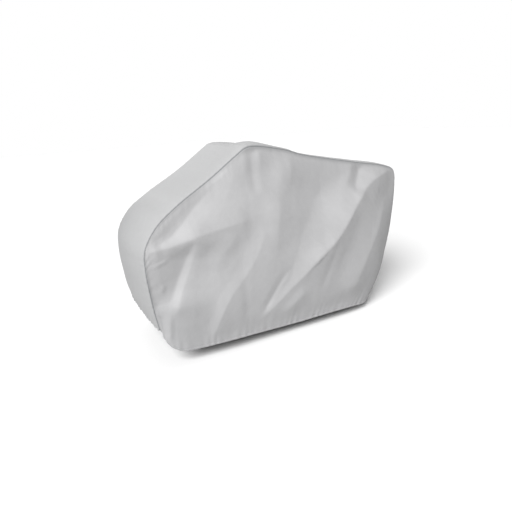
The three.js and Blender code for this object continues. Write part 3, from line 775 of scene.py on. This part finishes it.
def seam_shade_and_grime_group():
    """Painted shade in the sunk seam with its dark line, uneven along it, and the hem channel:
    the turned hem's grime, the darker pressed stitches and painted shade on the low front.
    """
    group, given, made = new_group(
        "sewn edges",
        [("Place", "NodeSocketVector"), ("Seam", "NodeSocketFloat"), ("Hem", "NodeSocketFloat")],
        [("Shade", "NodeSocketFloat")],
    )
    link = group.links.new
    uneven = add_node(group, "ShaderNodeTexNoise", Scale=70.0, Detail=3.0, Roughness=0.6)
    link(given.outputs["Place"], uneven.inputs["Vector"])
    spread = group.nodes.new("ShaderNodeMapRange")
    spread.inputs["To Min"].default_value = 0.55
    spread.inputs["To Max"].default_value = 1.15
    link(uneven.outputs[0], spread.inputs["Value"])
    seam = add_node(group, "ShaderNodeMath", operation="MULTIPLY")
    link(given.outputs["Seam"], seam.inputs[0])
    link(spread.outputs["Result"], seam.inputs[1])
    hem = add_node(group, "ShaderNodeMath", operation="MULTIPLY")
    link(given.outputs["Hem"], hem.inputs[0])
    hem.inputs[1].default_value = HEM_SHADE
    both = add_node(group, "ShaderNodeMath", operation="ADD", use_clamp=True)
    link(seam.outputs[0], both.inputs[0])
    link(hem.outputs[0], both.inputs[1])
    link(both.outputs[0], made.inputs["Shade"])
    return group


# Light and dark tone of a cloth, and the dark tone mixed in for painted shade and for grime
Tones = namedtuple("Tones", "light dark sewn")
STRIP_TONES = Tones((0.405, 0.406, 0.409), (0.367, 0.368, 0.371), (0.16, 0.165, 0.17))
SIDE_TONES = Tones((0.407, 0.406, 0.411), (0.368, 0.367, 0.372), (0.15, 0.155, 0.16))


def cloth_material(name, tones, groups):
    """Coated nonwoven cloth in two close tones, with its dark tone mixed in for painted shade and
    grime.
    """
    material = bpy.data.materials.new(name)
    material.use_nodes = True
    tree = material.node_tree
    link = tree.links.new
    shader = tree.nodes["Principled BSDF"]
    shader.inputs["Specular IOR Level"].default_value = 0.32
    shader.inputs["Sheen Weight"].default_value = 0.10
    shader.inputs["Sheen Roughness"].default_value = 0.45
    place = add_node(tree, "ShaderNodeAttribute", attribute_name="cloth_place")
    seam = add_node(tree, "ShaderNodeAttribute", attribute_name="seam")
    hem = add_node(tree, "ShaderNodeAttribute", attribute_name="hem")
    grain = add_node(tree, "ShaderNodeGroup", node_tree=groups["grain"])
    grain.inputs["Points per metre"].default_value = 620.0
    handled = add_node(tree, "ShaderNodeGroup", node_tree=groups["handled"])
    edges = add_node(tree, "ShaderNodeGroup", node_tree=groups["edges"])
    for group in (grain, handled, edges):
        link(place.outputs["Vector"], group.inputs["Place"])
    link(seam.outputs["Fac"], edges.inputs["Seam"])
    link(hem.outputs["Fac"], edges.inputs["Hem"])
    tone = add_node(tree, "ShaderNodeMath", operation="MULTIPLY_ADD")
    link(grain.outputs["Points"], tone.inputs[0])
    tone.inputs[1].default_value = 0.30
    link(handled.outputs["Cloud"], tone.inputs[2])
    body = add_node(tree, "ShaderNodeMix", data_type="RGBA")
    body.inputs[MIX_FIRST].default_value = (*tones.light, 1.0)
    body.inputs[MIX_SECOND].default_value = (*tones.dark, 1.0)
    link(tone.outputs[0], body.inputs[MIX_SHARE])
    # painted shade and grime: the dark tone mixed in by the seam and hem channels
    shaded = add_node(tree, "ShaderNodeMix", data_type="RGBA")
    link(edges.outputs["Shade"], shaded.inputs[MIX_SHARE])
    link(body.outputs[MIX_RESULT], shaded.inputs[MIX_FIRST])
    shaded.inputs[MIX_SECOND].default_value = (*tones.sewn, 1.0)
    link(shaded.outputs[MIX_RESULT], shader.inputs["Base Color"])
    rough = add_node(tree, "ShaderNodeMapRange")
    rough.inputs["To Min"].default_value = 0.50
    rough.inputs["To Max"].default_value = 0.66
    link(grain.outputs["Fibre"], rough.inputs["Value"])
    link(rough.outputs["Result"], shader.inputs["Roughness"])
    dimples = add_node(tree, "ShaderNodeBump", Strength=0.35, Distance=0.0012)
    link(handled.outputs["Dimple"], dimples.inputs["Height"])
    relief = add_node(tree, "ShaderNodeMath", operation="SUBTRACT")
    link(grain.outputs["Fibre"], relief.inputs[0])
    link(grain.outputs["Points"], relief.inputs[1])
    fine = add_node(tree, "ShaderNodeBump", Strength=0.3, Distance=0.00015)
    link(relief.outputs[0], fine.inputs["Height"])
    link(dimples.outputs["Normal"], fine.inputs["Normal"])
    link(fine.outputs["Normal"], shader.inputs["Normal"])
    return material


def thread_material(name, light, dark):
    """Twisted polyester thread."""
    material = bpy.data.materials.new(name)
    material.use_nodes = True
    tree = material.node_tree
    link = tree.links.new
    shader = tree.nodes["Principled BSDF"]
    shader.inputs["Sheen Weight"].default_value = 0.2
    where = add_node(tree, "ShaderNodeTexCoord")
    twist = add_node(tree, "ShaderNodeTexWave", Scale=900.0, Distortion=1.5, Detail=2.0)
    twist.bands_direction = "DIAGONAL"
    link(where.outputs["Object"], twist.inputs["Vector"])
    colour = add_node(tree, "ShaderNodeMix", data_type="RGBA")
    link(twist.outputs["Fac"], colour.inputs[MIX_SHARE])
    colour.inputs[MIX_FIRST].default_value = (*dark, 1.0)
    colour.inputs[MIX_SECOND].default_value = (*light, 1.0)
    link(colour.outputs[MIX_RESULT], shader.inputs["Base Color"])
    rough = add_node(tree, "ShaderNodeMapRange")
    rough.inputs["To Min"].default_value = 0.45
    rough.inputs["To Max"].default_value = 0.65
    link(twist.outputs["Fac"], rough.inputs["Value"])
    link(rough.outputs["Result"], shader.inputs["Roughness"])
    relief = add_node(tree, "ShaderNodeBump", Strength=0.5, Distance=0.0002)
    link(twist.outputs["Fac"], relief.inputs["Height"])
    link(relief.outputs["Normal"], shader.inputs["Normal"])
    return material


FLOOR_BOUNCE = 0.52
FLOOR_SHOWN = 0.86


def floor_material():
    """Pale floor, which throws less light back at the cloth than it shows."""
    material = bpy.data.materials.new("studio floor")
    material.use_nodes = True
    tree = material.node_tree
    shader = tree.nodes["Principled BSDF"]
    ray = add_node(tree, "ShaderNodeLightPath")
    pale = add_node(tree, "ShaderNodeMix", data_type="RGBA")
    pale.inputs[MIX_FIRST].default_value = (FLOOR_BOUNCE, FLOOR_BOUNCE, FLOOR_BOUNCE, 1.0)
    pale.inputs[MIX_SECOND].default_value = (FLOOR_SHOWN, FLOOR_SHOWN, FLOOR_SHOWN, 1.0)
    tree.links.new(ray.outputs["Is Camera Ray"], pale.inputs[MIX_SHARE])
    tree.links.new(pale.outputs[MIX_RESULT], shader.inputs["Base Color"])
    shader.inputs["Roughness"].default_value = 0.8
    shader.inputs["Specular IOR Level"].default_value = 0.1
    return material


# The cover
groups = {
    "grain": embossed_grain_group(),
    "handled": handled_cloth_group(),
    "edges": seam_shade_and_grime_group(),
}
strip_cloth = cloth_material("strip cloth", STRIP_TONES, groups)
side_cloth = cloth_material("side cloth", SIDE_TONES, groups)
hem_thread = thread_material("hem thread", (0.60, 0.60, 0.61), (0.44, 0.44, 0.45))

strip = strip_surface(STRIP_START)
sides = {
    "left": (side_surface(LEFT_HEM, LEFT_FOLDS, LEFT_START), -1.0),
    "right": (side_surface(RIGHT_HEM, RIGHT_FOLDS, RIGHT_START), 1.0),
}


def dressed(piece, material):
    piece.data.materials.append(material)
    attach(piece, "root")
    return piece


centre = dressed(cloth_piece("strip_cloth_piece", strip, 1.0), strip_cloth)
centre_thread = stitch_piece("strip_hem_stitches", strip.stitches, 1.0)
dressed(centre_thread, hem_thread)
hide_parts("centre_strip")
for label, (surface, side) in sides.items():
    panel = dressed(cloth_piece(f"side_cloth_{label}", surface, side), side_cloth)
    thread = stitch_piece(f"side_hem_stitches_{label}", surface.stitches, side)
    dressed(thread, hem_thread)
    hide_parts(f"side_panel_{label}")

# Studio: pale floor, broad key light from the upper front left, and a bright wall behind
FLOOR_REACH = 20.0
floor_mesh = bpy.data.meshes.new("studio_floor")
floor_signs = ((-1, -1), (1, -1), (1, 1), (-1, 1))
floor_corners = [(x * FLOOR_REACH, y * FLOOR_REACH, GROUND) for x, y in floor_signs]
floor_mesh.from_pydata(floor_corners, [], [(0, 1, 2, 3)])
floor_mesh.materials.append(floor_material())
floor = bpy.data.objects.new("studio_floor", floor_mesh)
bpy.context.collection.objects.link(floor)

KEY_FROM = Vector((-0.60, -0.48, 0.63))
KEY_STRENGTH = 4.9
KEY_ANGLE = radians(40)
key = bpy.data.objects.new("key_light", bpy.data.lights.new("key_light", "SUN"))
key.data.energy = KEY_STRENGTH
key.data.angle = KEY_ANGLE
key.rotation_mode = "QUATERNION"
key.rotation_quaternion = KEY_FROM.to_track_quat("Z", "Y")
bpy.context.collection.objects.link(key)

VIEW_FROM = Vector((-1.336, -2.797, 0.212))
VIEW_ALONG = Vector((0.4409, 0.8427, -0.3090))
VIEW_TURN = radians(-3.0)
VIEW_LENS = 31.64
VIEW_SENSOR = 36.0

# The wall's light grows between two cosines of the angle to the view
ROOM_LIGHT = 0.22
WALL_LIGHT = 1.0
WALL_FROM = 0.55
WALL_FULL = 0.85
world = bpy.data.worlds.new("studio")
world.use_nodes = True
room = world.node_tree
where = add_node(room, "ShaderNodeTexCoord")
toward = add_node(room, "ShaderNodeVectorMath", operation="DOT_PRODUCT")
room.links.new(where.outputs["Generated"], toward.inputs[0])
toward.inputs[1].default_value = Vector((VIEW_ALONG.x, VIEW_ALONG.y, 0.0)).normalized()
level = add_node(room, "ShaderNodeMapRange")
level.inputs["From Min"].default_value = WALL_FROM
level.inputs["From Max"].default_value = WALL_FULL
level.inputs["To Min"].default_value = ROOM_LIGHT
level.inputs["To Max"].default_value = WALL_LIGHT
room.links.new(toward.outputs["Value"], level.inputs["Value"])
room.links.new(level.outputs["Result"], room.nodes["Background"].inputs["Strength"])
room.nodes["Background"].inputs["Color"].default_value = (1.0, 1.0, 1.0, 1.0)
bpy.context.scene.world = world
bpy.context.scene.view_settings.view_transform = "Standard"

camera = bpy.data.objects.new("camera", bpy.data.cameras.new("camera"))
camera.data.sensor_width = VIEW_SENSOR
camera.data.lens = VIEW_LENS
camera.location = VIEW_FROM
camera.rotation_mode = "QUATERNION"
camera.rotation_quaternion = VIEW_ALONG.to_track_quat("-Z", "Y") @ Quaternion((0, 0, 1), VIEW_TURN)
bpy.context.collection.objects.link(camera)
bpy.context.scene.camera = camera
